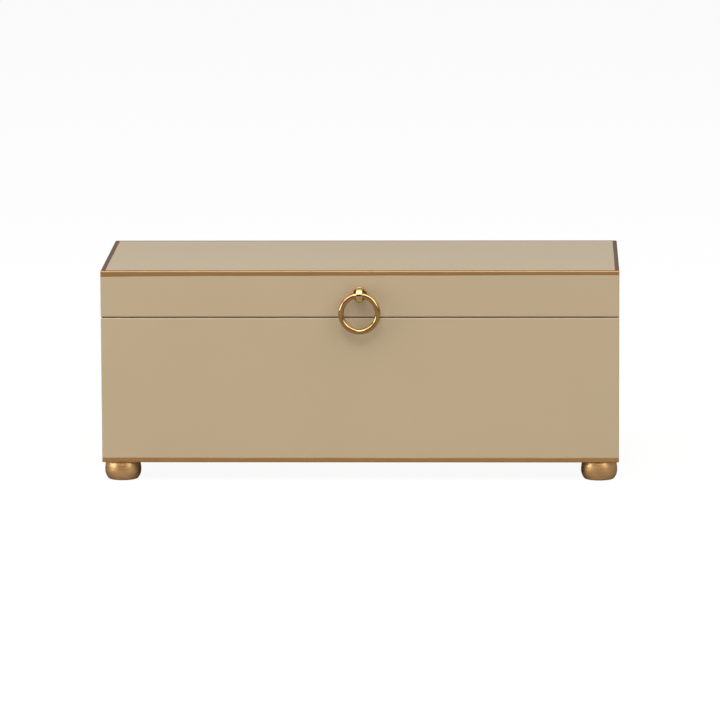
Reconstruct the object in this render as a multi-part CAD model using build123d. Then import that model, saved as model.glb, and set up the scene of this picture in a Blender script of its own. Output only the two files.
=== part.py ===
"""Lacquered box on bun feet, with a lid on two stop hinges and a brass ring pull.

Millimetres. +Z is up, +X is to the right of someone facing the box, and -Y is the front.
The pieces are modelled about the middle of the wooden body, with the feet's undersides at
z = 0. Each is moved at the end, so that the origin is the middle of the whole footprint,
pull and hinges included, on the surface that the box stands on.
"""

from build123d import *
from math import acos, asin, atan2, cos, degrees, hypot, radians
import os

# Wooden body, measured over the lacquer
body_width = 350.0
body_depth = 150.0
base_height = 99.0
lid_height = 31.35
lid_gap = 0.65
board_thickness = 9.0
arris_radius = 0.8
rim_easing = 0.4

# Floor board, let into a rabbet round the foot of the walls
floor_thickness = 6.0
floor_rabbet = 5.0
floor_clearance = 0.2

# Felt on the floor, and the felt dots that the closed lid comes down on
felt_thickness = 1.5
felt_margin = 0.4
felt_corner_radius = 1.0
dot_radius = 3.0
dot_inset = 16.0
dot_clearance = 0.05

# Turned bun feet, each held by a screw from below
foot_height = 13.0
foot_radius = 12.3
foot_bulge_level = 6.25
foot_seat_radius = 11.25
foot_base_radius = 9.8
foot_edge_radius = 1.5
foot_setback = 1.0
foot_bore_radius = 3.2
foot_bore_depth = 5.0

# Countersunk screws up through the feet into the floor board
foot_screw_head_radius = 2.7
foot_screw_radius = 1.4
foot_screw_bite = 4.5
foot_screw_slot_width = 0.7
foot_screw_slot_depth = 0.7

# Stop hinges, one near each end of the back, their leaves let into both rims
hinge_inset = 65.0
leaf_length = 25.0
leaf_thickness = 1.2
leaf_setback = 2.0
leaf_gap = 0.1
mortise_clearance = 0.1
knuckle_count = 3
knuckle_radius = 2.2
knuckle_gap = 0.2
barrel_clearance = 0.3
pin_radius = 1.0
pin_clearance = 0.05
pin_chamfer = 0.25
lug_depth = 3.3
lug_thickness = 1.3
lug_edge_radius = 0.4
lid_opening = 95.0
stop_slack = 0.6

# Countersunk screws through the hinge leaves, their heads as deep as the leaves are thick
hinge_screw_spacing = 16.0
hinge_screw_radius = 0.85
hinge_screw_length = 8.0
hinge_screw_slot_width = 0.5
hinge_screw_slot_depth = 0.4
screw_clearance = 0.05

# Ring pull on the lid's front: ring, eye and rosette, with a stud through the board
ring_radius = 12.35
wire_radius = 1.9
eye_clearance = 0.5
eye_wall = 2.4
eye_width = 4.6
eye_edge_chamfer = 0.9
eye_mouth_chamfer = 0.4
neck_length = 0.2
neck_radius = 2.1
rosette_radius = 5.0
rosette_thickness = 2.0
rosette_rim = 0.6
rosette_seat_radius = 2.6
stud_radius = 1.5
stud_clearance = 0.2
stud_end = 0.8
stud_chamfer = 0.3
washer_radius = 3.5
washer_thickness = 0.5
nut_across_flats = 5.5
nut_thickness = 2.4
nut_clearance = 0.05
swing_clearance = 0.3

# Levels, from the surface that the box stands on
body_bottom = foot_height
floor_top = body_bottom + floor_thickness
base_rim = body_bottom + base_height
seam = base_rim + lid_gap / 2
lid_rim = base_rim + lid_gap
body_top = lid_rim + lid_height
lid_ceiling = body_top - board_thickness
pull_level = lid_rim + lid_height / 2

# Distances of faces and axes from the middle of the body
half_width = body_width / 2
half_depth = body_depth / 2
inner_width = body_width - 2 * board_thickness
inner_depth = body_depth - 2 * board_thickness
foot_x = half_width - foot_setback - foot_radius
foot_y = half_depth - foot_setback - foot_radius
hinge_x = half_width - hinge_inset
hinge_standoff = knuckle_radius + barrel_clearance
hinge_y = half_depth + hinge_standoff
leaf_width = board_thickness - leaf_setback
hinge_screw_head_radius = hinge_screw_radius + leaf_thickness
lug_reach = knuckle_radius + lug_depth
stop_angle = (lid_opening + stop_slack) / 2
eye_bore_radius = wire_radius + eye_clearance
eye_radius = eye_bore_radius + eye_wall
pull_standoff = rosette_thickness + neck_length + eye_radius
pull_y = -half_depth - pull_standoff

# The footprint runs from the front of the pull's eye to the tips of the hinges' lugs
front_reach = pull_standoff + eye_radius
back_reach = hinge_standoff + lug_reach * cos(radians(stop_angle))
footprint_shift = (front_reach - back_reach) / 2

# The ring swings back until it nearly touches the front, and forward, up and over until it
# leans on the lid's top arris
ring_room = pull_standoff - wire_radius - swing_clearance
ring_swing_back = degrees(asin(ring_room / (2 * ring_radius)))
arris_rise = body_top - pull_level
arris_angle = atan2(arris_rise, pull_standoff)
ring_lean = acos((wire_radius + swing_clearance) / hypot(arris_rise, pull_standoff)) - arris_angle
ring_swing_up = 180.0 + degrees(ring_lean)


def block(width, depth, bottom, top):
    """A block about the vertical axis, between two levels."""
    return Pos(0, 0, (bottom + top) / 2) * Box(width, depth, top - bottom)


def bar_along_x(radius, start, end):
    """A round bar on the X axis, from start to end."""
    return Pos((start + end) / 2, 0, 0) * Rot(0, 90, 0) * Cylinder(radius, end - start)


def bar_along_y(radius, start, end):
    """A round bar on the Y axis, from start to end."""
    return Pos(0, (start + end) / 2, 0) * Rot(90, 0, 0) * Cylinder(radius, end - start)


def turned(*lines):
    """A solid turned about Z, from lines that close a half profile in radius and height."""
    return revolve(Plane.XZ * make_face(Curve() + lines), Axis.Z)


# Wooden boards


def rounded_shell(bottom, top, hollow_bottom, hollow_top, rim):
    """A box with rounded outer edges and one open side, whose inner rim is eased."""
    outside = block(body_width, body_depth, bottom, top)
    shell = fillet(outside.edges(), arris_radius)
    shell -= block(inner_width, inner_depth, hollow_bottom, hollow_top)
    inner_edges = [
        edge
        for edge in shell.edges()
        if abs(edge.center().Z - rim) < rim_easing / 2
        and abs(edge.center().X) < half_width - board_thickness / 2
        and abs(edge.center().Y) < half_depth - board_thickness / 2
    ]
    return fillet(inner_edges, rim_easing)


def mitred_walls(shell, bottom, top):
    """The shell's front, right, back and left walls, cut apart at 45 degrees."""
    walls = {}
    lengths = {"front": body_width, "right": body_depth, "back": body_width, "left": body_depth}
    for quarter_turns, (side, length) in enumerate(lengths.items()):
        setback = half_width if length == body_depth else half_depth
        outer, inner = length / 2, length / 2 - board_thickness
        plan = Polygon(
            (-outer, 0), (outer, 0), (inner, board_thickness), (-inner, board_thickness), align=None
        )
        wedge = Pos(0, -setback, bottom) * extrude(plan, top - bottom)
        walls[side] = shell & (Rot(0, 0, 90 * quarter_turns) * wedge)
    return walls


def base_walls():
    """The base's four walls, with the rabbet for the floor board."""
    shell = rounded_shell(body_bottom, base_rim, body_bottom - 1, base_rim + 1, base_rim)
    rabbet_width = inner_width + 2 * floor_rabbet
    rabbet_depth = inner_depth + 2 * floor_rabbet
    shell -= block(rabbet_width, rabbet_depth, body_bottom - 1, floor_top)
    return mitred_walls(shell, body_bottom, base_rim)


def lid_boards():
    """The lid's top board, bevelled at 45 degrees all round, and the four walls under it."""
    shell = rounded_shell(lid_rim, body_top, lid_rim - 1, lid_ceiling, lid_rim)
    face = Pos(0, 0, body_top) * Rectangle(body_width, body_depth)
    bevelled = extrude(face, -board_thickness, taper=45)
    boards = mitred_walls(shell - bevelled, lid_rim, body_top)
    boards["top"] = shell & bevelled
    return boards


def base_floor():
    """The floor board, drilled from below for the foot screws."""
    width = inner_width + 2 * (floor_rabbet - floor_clearance)
    depth = inner_depth + 2 * (floor_rabbet - floor_clearance)
    floor = block(width, depth, body_bottom, floor_top)
    for place in foot_places().values():
        floor -= place * foot_screw_hole()
    return floor


def floor_felt():
    """The felt that lines the floor."""
    width = inner_width - 2 * felt_margin
    depth = inner_depth - 2 * felt_margin
    sheet = block(width, depth, floor_top, floor_top + felt_thickness)
    return fillet(sheet.edges().filter_by(Axis.Z), felt_corner_radius)


def lid_dots():
    """Two felt dots on the front rim, a little thinner than the gap under the lid."""
    thickness = lid_gap - dot_clearance
    level = base_rim + thickness / 2
    y = -half_depth + board_thickness / 2
    x = half_width - dot_inset
    return [Pos(side * x, y, level) * Cylinder(dot_radius, thickness) for side in (-1, 1)]


# Screws


def screw_blank(head_radius, shank_radius, length):
    """A countersunk screw down from the origin, where the middle of its head's face is."""
    return turned(
        Polyline(
            (0, 0),
            (head_radius, 0),
            (shank_radius, shank_radius - head_radius),
            (shank_radius, -length),
            (0, -length),
            (0, 0),
        )
    )


def slotted_screw(head_radius, shank_radius, length, slot_width, slot_depth):
    """The screw with its driver slot."""
    slot = Box(3 * head_radius, slot_width, 2 * slot_depth)
    return screw_blank(head_radius, shank_radius, length) - slot


def screw_hole(head_radius, shank_radius, length):
    """The countersunk hole for such a screw, larger than it by the screw clearance."""
    wider = screw_clearance
    return screw_blank(head_radius + wider, shank_radius + wider, length + wider)


# Feet


def foot_places():
    """Where each foot stands."""
    return {
        "front_left": Pos(-foot_x, -foot_y, 0),
        "front_right": Pos(foot_x, -foot_y, 0),
        "back_left": Pos(-foot_x, foot_y, 0),
        "back_right": Pos(foot_x, foot_y, 0),
    }


def foot_screw_place():
    """The foot screw's place in its foot: head down, at the top of the bore."""
    return Pos(0, 0, foot_bore_depth) * Rot(180, 0, 0)


def foot_screw_length():
    """From the bore's top through the foot and into the floor board."""
    return foot_height - foot_bore_depth + foot_screw_bite


def foot_screw_hole():
    """The hole for the foot screw, through a foot and into the floor board."""
    return foot_screw_place() * screw_hole(
        foot_screw_head_radius, foot_screw_radius, foot_screw_length()
    )


def foot_screw():
    """The screw that holds a foot."""
    return foot_screw_place() * slotted_screw(
        foot_screw_head_radius,
        foot_screw_radius,
        foot_screw_length(),
        foot_screw_slot_width,
        foot_screw_slot_depth,
    )


def bun_foot():
    """A turned foot, fullest near its middle, bored from below for its screw."""
    widest = (foot_radius, foot_bulge_level)
    seat = (foot_seat_radius, foot_height)
    base = (foot_base_radius, 0)
    foot = turned(
        TangentArc(widest, seat, tangent=(0, 1)),
        TangentArc(widest, base, tangent=(0, -1)),
        Polyline(seat, (0, foot_height), (0, 0), base),
    )
    foot = fillet(foot.edges().group_by(Axis.Z)[0], foot_edge_radius)
    foot -= Cylinder(foot_bore_radius, 2 * foot_bore_depth)
    return foot - foot_screw_hole()


# Stop hinges, each about the middle of its pin


def knuckle_spans(first):
    """Where every second knuckle starts and ends along the pin, from the first one given."""
    pitch = leaf_length / knuckle_count
    starts = [-leaf_length / 2 + index * pitch for index in range(first, knuckle_count, 2)]
    return [(start, start + pitch) for start in starts]


def leaf_screw_places():
    """The places of a base leaf's screws, on its upper face."""
    y = -hinge_standoff - leaf_width / 2
    x = hinge_screw_spacing / 2
    return [Pos(x, y, -leaf_gap / 2), Pos(-x, y, -leaf_gap / 2)]


def leaf_screw_holes():
    """The countersunk holes for a leaf's screws."""
    hole = screw_hole(hinge_screw_head_radius, hinge_screw_radius, hinge_screw_length)
    return [place * hole for place in leaf_screw_places()]


def leaf_screws():
    """One base leaf's screws."""
    screw = slotted_screw(
        hinge_screw_head_radius,
        hinge_screw_radius,
        hinge_screw_length,
        hinge_screw_slot_width,
        hinge_screw_slot_depth,
    )
    return [place * screw for place in leaf_screw_places()]


def hinge_leaf(first_knuckle):
    """A leaf as it lies in the base: plate, knuckles, and the lug that stops the lid."""
    reach = hinge_standoff + leaf_width
    plate = Pos(0, -reach / 2, -(leaf_gap + leaf_thickness) / 2) * Box(
        leaf_length, reach, leaf_thickness
    )
    lug = Pos(0, lug_reach / 2, -lug_thickness / 2) * Box(leaf_length, lug_reach, lug_thickness)
    tip_edges = lug.edges().filter_by(Axis.X).group_by(Axis.Y)[-1]
    lug = fillet(tip_edges.sort_by(Axis.Z)[:1], lug_edge_radius)
    leaf = plate + Rot(-stop_angle, 0, 0) * lug
    for start, end in knuckle_spans(first_knuckle):
        leaf += bar_along_x(knuckle_radius, start + knuckle_gap / 2, end - knuckle_gap / 2)
    for start, end in knuckle_spans(1 - first_knuckle):
        room = knuckle_radius + knuckle_gap
        leaf -= bar_along_x(room, start - knuckle_gap / 2, end + knuckle_gap / 2)
    leaf -= bar_along_x(pin_radius + pin_clearance, -leaf_length, leaf_length)
    for hole in leaf_screw_holes():
        leaf -= hole
    return leaf


def hinge_pin():
    """The pin, as long as the leaves, with chamfered ends."""
    pin = bar_along_x(pin_radius, -leaf_length / 2, leaf_length / 2)
    return chamfer(pin.edges().filter_by(GeomType.CIRCLE), pin_chamfer)


def leaf_mortise():
    """What a leaf needs cut out of the base's rim: its bed and its screws' holes."""
    length = leaf_length + 2 * mortise_clearance
    width = leaf_width + mortise_clearance + hinge_standoff
    bed = -leaf_gap / 2 - leaf_thickness
    recess = Pos(0, -width / 2, bed / 2) * Box(length, width, -bed)
    for hole in leaf_screw_holes():
        recess += hole
    return recess


def turned_over(pieces):
    """Pieces of a base leaf, turned over to lie in the lid."""
    return [Rot(0, 180, 0) * piece for piece in pieces]


# Ring pull, its eye about the middle of the bore that the ring hangs in


def pull_eye():
    """The eye, its short neck and the stud that goes through the board."""
    eye = bar_along_x(eye_radius, -eye_width / 2, eye_width / 2)
    eye = chamfer(eye.edges().filter_by(GeomType.CIRCLE), eye_edge_chamfer)
    shoulder = pull_standoff - rosette_thickness
    stud_length = rosette_thickness + board_thickness + washer_thickness + nut_thickness + stud_end
    stud = bar_along_y(stud_radius, 0, shoulder + stud_length)
    stud = chamfer(stud.edges().sort_by(Axis.Y)[-1], stud_chamfer)
    eye += bar_along_y(neck_radius, 0, shoulder)
    eye += stud
    eye -= bar_along_x(eye_bore_radius, -eye_width, eye_width)
    mouths = [
        edge
        for edge in eye.edges().filter_by(GeomType.CIRCLE)
        if abs(edge.radius - eye_bore_radius) < eye_clearance / 10
        and abs(abs(edge.center().X) - eye_width / 2) < eye_clearance / 10
    ]
    return chamfer(mouths, eye_mouth_chamfer)


def pull_rosette():
    """The domed button between the eye and the board, with the stud's hole."""
    rosette = turned(
        Polyline((0, 0), (rosette_radius, 0), (rosette_radius, rosette_rim)),
        TangentArc(
            (rosette_seat_radius, rosette_thickness), (rosette_radius, rosette_rim), tangent=(1, 0)
        ),
        Polyline((rosette_seat_radius, rosette_thickness), (0, rosette_thickness), (0, 0)),
    )
    rosette -= Cylinder(stud_radius + stud_clearance, 3 * rosette_thickness)
    return Rot(90, 0, 0) * rosette


def pull_ring():
    """The ring, hanging from the middle of the eye's bore."""
    return Pos(0, 0, -ring_radius) * Rot(90, 0, 0) * Torus(ring_radius, wire_radius)


def pull_washer():
    """The washer under the nut, from the board's inner face inwards."""
    return bar_along_y(washer_radius, 0, washer_thickness) - bar_along_y(
        stud_radius + stud_clearance, -washer_thickness, 2 * washer_thickness
    )


def pull_nut():
    """The nut on the stud, its corners chamfered, from the washer inwards."""
    hexagon = RegularPolygon(nut_across_flats / 2, 6, major_radius=False)
    nut = extrude(hexagon, nut_thickness)
    corner_radius = nut_across_flats / 2 / cos(radians(30))
    bevel = corner_radius - nut_across_flats / 2
    rounded = Pos(0, 0, nut_thickness / 2) * Cylinder(corner_radius, nut_thickness)
    nut &= chamfer(rounded.edges().filter_by(GeomType.CIRCLE), bevel)
    nut -= Cylinder(stud_radius + nut_clearance, 3 * nut_thickness)
    return Rot(-90, 0, 0) * nut


def stud_hole():
    """The hole through the lid's front board for the stud."""
    return Pos(0, -half_depth, pull_level) * bar_along_y(
        stud_radius + stud_clearance, -board_thickness, 2 * board_thickness
    )


# The whole box


def all_pieces():
    """Every node's name, with its solids in place about the middle of the body."""
    pieces = {}
    base = base_walls()
    lid = lid_boards()
    lid["front"] -= stud_hole()

    hinges = {"left": Pos(-hinge_x, hinge_y, seam), "right": Pos(hinge_x, hinge_y, seam)}
    for place in hinges.values():
        base["back"] -= place * leaf_mortise()
        lid["back"] -= place * turned_over([leaf_mortise()])[0]

    for side, wall in base.items():
        pieces[f"base_{side}"] = [wall]
    pieces["base_floor"] = [base_floor()]
    pieces["floor_felt"] = [floor_felt()]
    pieces["lid_dots"] = lid_dots()
    for corner, place in foot_places().items():
        pieces[f"foot_{corner}"] = [place * bun_foot()]
    pieces["foot_screws"] = [place * foot_screw() for place in foot_places().values()]

    base_screws = []
    lid_screws = []
    for side, place in hinges.items():
        pieces[f"hinge_base_leaf_{side}"] = [place * hinge_leaf(0)]
        pieces[f"hinge_lid_leaf_{side}"] = [place * leaf for leaf in turned_over([hinge_leaf(1)])]
        pieces[f"hinge_pin_{side}"] = [place * hinge_pin()]
        base_screws += [place * screw for screw in leaf_screws()]
        lid_screws += [place * screw for screw in turned_over(leaf_screws())]
    pieces["hinge_base_screws"] = base_screws
    pieces["hinge_lid_screws"] = lid_screws

    for side, board in lid.items():
        pieces[f"lid_{side}"] = [board]

    in_eye = Pos(0, pull_y, pull_level)
    on_face = Pos(0, -half_depth, pull_level)
    inside = on_face * Pos(0, board_thickness, 0)
    pieces["pull_rosette"] = [on_face * pull_rosette()]
    pieces["pull_eye"] = [in_eye * pull_eye()]
    pieces["pull_ring"] = [in_eye * pull_ring()]
    pieces["pull_washer"] = [inside * pull_washer()]
    pieces["pull_nut"] = [inside * Pos(0, washer_thickness, 0) * pull_nut()]
    return pieces


def write_parts(pieces):
    """Write each node's solids, moved to the footprint's middle, to one STEP file."""
    os.makedirs("parts", exist_ok=True)
    to_origin = Pos(0, footprint_shift, 0)
    for name, shapes in pieces.items():
        solids = [solid for shape in shapes for solid in (to_origin * shape).solids()]
        node = solids[0] if len(solids) == 1 else Compound(children=solids)
        node.label = name
        export_step(node, f"parts/{name}.step")


write_parts(all_pieces())
print(f"footprint shift {footprint_shift:.4f}")
print(f"lid hinge axis y {hinge_y + footprint_shift:.4f} z {seam:.4f}")
print(f"ring axis y {pull_y + footprint_shift:.4f} z {pull_level:.4f}")
print(f"ring swing {-ring_swing_back:.2f} to {ring_swing_up:.2f} degrees")
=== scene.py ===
"""Dresses the frame of a lacquered box: lacquer, gold lines, feet, felt, hinges and ring pull.

Metres, in the frame's own axes: +Z is up, +X is to the right of someone facing the box, and -Y is
the front. Every piece's mesh is made where the frame says, so each object's own place is the origin.
"""

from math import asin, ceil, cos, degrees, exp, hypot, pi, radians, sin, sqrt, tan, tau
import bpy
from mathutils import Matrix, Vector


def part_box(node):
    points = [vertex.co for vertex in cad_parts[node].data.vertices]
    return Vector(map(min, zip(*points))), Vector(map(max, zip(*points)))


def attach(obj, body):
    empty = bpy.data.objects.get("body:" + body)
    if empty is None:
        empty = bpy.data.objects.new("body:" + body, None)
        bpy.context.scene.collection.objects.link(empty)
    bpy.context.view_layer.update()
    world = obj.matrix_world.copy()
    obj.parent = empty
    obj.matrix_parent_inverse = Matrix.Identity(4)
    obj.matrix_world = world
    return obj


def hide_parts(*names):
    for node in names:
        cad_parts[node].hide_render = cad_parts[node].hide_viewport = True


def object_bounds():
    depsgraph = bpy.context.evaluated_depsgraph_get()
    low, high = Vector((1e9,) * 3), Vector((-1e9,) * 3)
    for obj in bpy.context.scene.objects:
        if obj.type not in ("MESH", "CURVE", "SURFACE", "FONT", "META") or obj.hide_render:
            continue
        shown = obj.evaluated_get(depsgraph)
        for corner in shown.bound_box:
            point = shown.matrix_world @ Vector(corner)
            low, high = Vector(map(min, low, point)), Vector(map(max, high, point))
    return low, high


bl_info = {
    "name": "Lacquered Box",
    "version": (1, 0, 0),
    "blender": (4, 5, 0),
    "location": "3D Viewport > Sidebar > Lacquered Box",
    "description": "Lacquer, gold lines, feet, felt, hinges and ring pull on a box's frame",
    "category": "Object",
}

import bmesh
import bpy
from bpy.props import FloatProperty, FloatVectorProperty, PointerProperty
from mathutils import Matrix, Vector, noise

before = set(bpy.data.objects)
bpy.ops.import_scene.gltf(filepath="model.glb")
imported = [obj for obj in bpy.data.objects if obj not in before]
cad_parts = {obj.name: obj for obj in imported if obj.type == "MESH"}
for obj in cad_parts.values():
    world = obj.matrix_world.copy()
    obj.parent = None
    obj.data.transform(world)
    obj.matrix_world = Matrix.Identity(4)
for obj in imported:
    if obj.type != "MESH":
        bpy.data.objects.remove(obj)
cad_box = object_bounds()

MM = 0.001
MERGED_WITHIN = 1e-7
SHARP_ANGLE = radians(35)
GENTLE_BEND = radians(20)
STATION_SPACING = 5 * MM
CORNER_STEPS = 5
# A shell's materials, in the order in which it gets them. The third is the gold paint made darker,
# which is painted shade
LACQUER, GOLD, SHADED_GOLD = 0, 1, 2
# Sockets of the colour mix node, by number, because its other kinds of mix have the same names
SHARE, FIRST, SECOND, MIXED = 0, 6, 7, 2
BASE_WALLS = ("base_front", "base_right", "base_back", "base_left")
LID_BOARDS = ("lid_front", "lid_right", "lid_back", "lid_left", "lid_top")
FEET = ("front_left", "front_right", "back_left", "back_right")
SIDES = ("left", "right")


def linear(hex_colour):
    """The scene-linear colour, with full alpha, of an sRGB hex value."""
    channels = [int(hex_colour[start : start + 2], 16) / 255 for start in (1, 3, 5)]
    return (
        *(c / 12.92 if c <= 0.04045 else ((c + 0.055) / 1.055) ** 2.4 for c in channels),
        1.0,
    )


def toned(colour, factor):
    """The colour made darker or lighter by this factor."""
    return (*(channel * factor for channel in colour[:3]), 1.0)


def span(*nodes):
    """The lowest and the highest corner of these CAD nodes together."""
    boxes = [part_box(name) for name in nodes]
    low = Vector([min(box[0][axis] for box in boxes) for axis in range(3)])
    high = Vector([max(box[1][axis] for box in boxes) for axis in range(3)])
    return low, high


# Sizes and colours that someone may change


def length(name, description, default):
    """A length property, in metres."""
    return FloatProperty(
        name=name, description=description, default=default, min=0.0, unit="LENGTH", precision=5
    )


def tint(name, description, hex_colour):
    """A colour property."""
    return FloatVectorProperty(
        name=name,
        description=description,
        default=linear(hex_colour),
        min=0.0,
        max=1.0,
        size=4,
        subtype="COLOR",
    )


class LacqueredBoxSizes(bpy.types.PropertyGroup):
    """Sizes that the frame's boxes don't give."""

    line_width: length("Line width", "Mean width of the lid's painted gold lines", 3.1 * MM)
    foot_line_width: length("Foot line width", "Mean width of the line at the base's foot", 3.4 * MM)
    line_waver: length("Line waver", "Most that a line's edge strays from true", 0.4 * MM)
    line_swell: length("Line swell", "Extra width where the loaded brush sets off", 0.55 * MM)
    line_under: length("Line underneath", "How far the foot line wraps under the base", 1.6 * MM)
    arris: length("Arris", "Radius of the outer edges", 0.8 * MM)
    easing: length("Easing", "Radius of the rims' inner edges", 0.4 * MM)
    floor_clearance: length("Floor clearance", "Gap round the floor board", 0.2 * MM)
    leaf_thickness: length("Leaf thickness", "Thickness of a hinge leaf", 1.2 * MM)
    leaf_gap: length("Leaf gap", "Gap between two closed leaves", 0.1 * MM)
    mortise_clearance: length("Mortise clearance", "Gap round a let-in leaf", 0.1 * MM)
    foot_bulge: length("Foot bulge", "Height at which a foot is widest", 6.25 * MM)
    foot_seat: length("Foot seat", "Radius of a foot's top", 11.25 * MM)
    foot_base: length("Foot base", "Radius of a foot's underside, at the sharp edge", 9.8 * MM)
    foot_edge: length("Foot edge", "Radius of a foot's lower edge", 1.5 * MM)
    foot_bore: length("Foot bore", "Radius of the bore for the screw's head", 3.2 * MM)
    foot_bore_depth: length("Foot bore depth", "Depth of that bore", 5.0 * MM)
    foot_screw_head: length("Foot screw head", "Radius of the countersink", 2.75 * MM)
    foot_screw_hole: length("Foot screw hole", "Radius of the screw's hole", 1.45 * MM)
    foot_easing: length("Foot easing", "Radius of a foot's other edges", 0.3 * MM)
    eye_clearance: length("Eye clearance", "Room round the ring in its eye", 0.5 * MM)
    eye_chamfer: length("Eye chamfer", "Chamfer of the eye's outer edges", 0.6 * MM)
    eye_mouth: length("Eye mouth", "Chamfer of the eye's bore", 0.4 * MM)
    neck: length("Neck", "Radius of the eye's neck", 2.1 * MM)
    stud: length("Stud", "Radius of the stud through the board", 1.5 * MM)
    stud_clearance: length("Stud clearance", "Gap round the stud", 0.2 * MM)
    stud_chamfer: length("Stud chamfer", "Chamfer of the stud's end", 0.3 * MM)
    rosette_rim: length("Rosette rim", "Height of the rosette's rim", 0.6 * MM)
    rosette_seat: length("Rosette seat", "Radius of the rosette's boss", 2.5 * MM)
    rosette_dish: length("Rosette dish", "Height of the rosette's hollow, round the boss", 0.65 * MM)
    rosette_crest: length("Rosette crest", "Height of the rim's crest", 1.15 * MM)
    polish: length("Polish", "Radius that polishing leaves on brass edges", 0.15 * MM)
    felt_easing: length("Felt easing", "Radius of the felt's upper edge", 0.8 * MM)
    felt_corner: length("Felt corner", "Radius of the felt's corners", 1.0 * MM)
    felt_slack: length("Felt slack", "Most that the felt's face lies low", 0.12 * MM)


class LacqueredBoxColours(bpy.types.PropertyGroup):
    """Colours of the finishes."""

    lacquer: tint("Lacquer", "Taupe lacquer of the boards", "#bca888")
    gold_line: tint("Gold line", "Bronze paint of the lines", "#bf925d")
    # The gold line's paint made darker: painted shade for the lines on the lid's top, which catch
    # little light
    shaded_top_line: tint("Shaded top line", "Bronze paint of the lines on the lid's top", "#6f4a30")
    gilding: tint("Gilding", "Gold paint of the feet", "#e6b376")
    brass: tint("Brass", "Buffed brass of the ring", "#c69856")
    eye_brass: tint("Eye brass", "Buffed yellow brass of the eye", "#dfc47a")
    rosette_brass: tint("Rosette brass", "Toned brass of the rosette", "#96763f")
    hinge: tint("Hinge brass", "Brushed brass of the hinges", "#cfb078")
    steel: tint("Steel", "Zinc-plated screws, washer and nut", "#b9bbbb")
    felt: tint("Felt", "Wool felt of the lining and dots", "#6d5c4a")
    floor: tint("Floor", "Studio floor", "#f4f3f1")


# Meshes


def arc(centre, radius, start, end, steps):
    """Points on an arc from one angle to another, in degrees, with both ends."""
    turns = [radians(start + (end - start) * step / steps) for step in range(steps + 1)]
    return [(centre[0] + radius * cos(turn), centre[1] + radius * sin(turn)) for turn in turns]


def eased(outline, radius, steps=3):
    """A closed outline with its sharp corners rounded."""
    rounded = []
    for index, corner in enumerate(outline):
        here = Vector(corner)
        back = Vector(outline[index - 1]) - here
        ahead = Vector(outline[(index + 1) % len(outline)]) - here
        bend = pi - back.angle(ahead)
        if bend < GENTLE_BEND:
            rounded.append(corner)
            continue
        # Less than half of either side, so that two easings never meet
        room = 0.45 * min(back.length, ahead.length)
        reach = min(radius * tan(bend / 2), room)
        start = here + back.normalized() * reach
        end = here + ahead.normalized() * reach
        for step in range(steps + 1):
            share = step / steps
            rounded.append(tuple(start.lerp(here, share).lerp(here.lerp(end, share), share)))
    return rounded


def as_object(name, builder):
    """A new object from a bmesh, linked into the scene at the origin."""
    bmesh.ops.recalc_face_normals(builder, faces=builder.faces)
    mesh = bpy.data.meshes.new(name)
    builder.to_mesh(mesh)
    builder.free()
    made = bpy.data.objects.new(name, mesh)
    bpy.context.scene.collection.objects.link(made)
    return made


def combined(piece, other, operation):
    """Joins other to the piece, or cuts it out, and removes other."""
    modifier = piece.modifiers.new(operation, "BOOLEAN")
    modifier.operation = operation
    modifier.solver = "EXACT"
    modifier.object = other
    graph = bpy.context.evaluated_depsgraph_get()
    result = bpy.data.meshes.new_from_object(piece.evaluated_get(graph))
    piece.modifiers.clear()
    piece.data = result
    bpy.data.objects.remove(other)
    return piece


def shaded(piece):
    """Smooth shading between crisp edges, with flat faces left looking flat."""
    builder = bmesh.new()
    builder.from_mesh(piece.data)
    for face in builder.faces:
        face.smooth = True
    for edge in builder.edges:
        edge.smooth = len(edge.link_faces) == 2 and edge.calc_face_angle() < SHARP_ANGLE
    builder.to_mesh(piece.data)
    builder.free()
    weighted = piece.modifiers.new("flat faces stay flat", "WEIGHTED_NORMAL")
    weighted.keep_sharp = True
    return piece


def coated(piece, *materials):
    """Gives the piece its materials, in the order of its faces' numbers."""
    for material in materials:
        piece.data.materials.append(material)
    return piece


def placed(piece, body, slot, *nodes):
    """Gives the piece its body and hides the nodes that it stands for; slot is not used."""
    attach(piece, body)
    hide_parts(*nodes)
    return piece


def turned(name, outline, steps, place):
    """A closed outline of (radius, height) turned about the Z axis and then placed."""
    builder = bmesh.new()
    columns = []
    for step in range(steps):
        turn = tau * step / steps
        columns.append(
            [builder.verts.new(place @ Vector((r * cos(turn), r * sin(turn), h))) for r, h in outline]
        )
    for step, column in enumerate(columns):
        beside = columns[(step + 1) % steps]
        for index, vertex in enumerate(column):
            after = (index + 1) % len(column)
            builder.faces.new((vertex, beside[index], beside[after], column[after]))
    bmesh.ops.remove_doubles(builder, verts=builder.verts, dist=MERGED_WITHIN)
    return as_object(name, builder)


def stations(half_x, half_y, radius):
    """Stations round a rounded rectangle, from the front left corner, anticlockwise from above.

    Each is (u, v, nx, ny, along): its place between the corners' centres from -1 to 1 each way, the
    outline's outward normal, and its distance from the first corner.
    """
    made = []
    along = 0.0
    for side in range(4):
        turn = side * pi / 2
        ahead = (round(cos(turn)), round(sin(turn)))
        out = (ahead[1], -ahead[0])
        straight = 2 * ((half_x if ahead[0] else half_y) - radius)
        count = ceil(straight / STATION_SPACING)
        for index in range(count):
            share = 2 * index / count - 1
            u, v = (ahead[axis] * share + out[axis] for axis in (0, 1))
            made.append((u, v, *out, along + straight * index / count))
        along += straight
        for index in range(CORNER_STEPS):
            bend = pi / 2 * index / CORNER_STEPS
            normal = [out[axis] * cos(bend) + ahead[axis] * sin(bend) for axis in (0, 1)]
            u, v = (ahead[axis] + out[axis] for axis in (0, 1))
            made.append((u, v, *normal, along + radius * bend))
        along += radius * pi / 2
    return made


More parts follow.
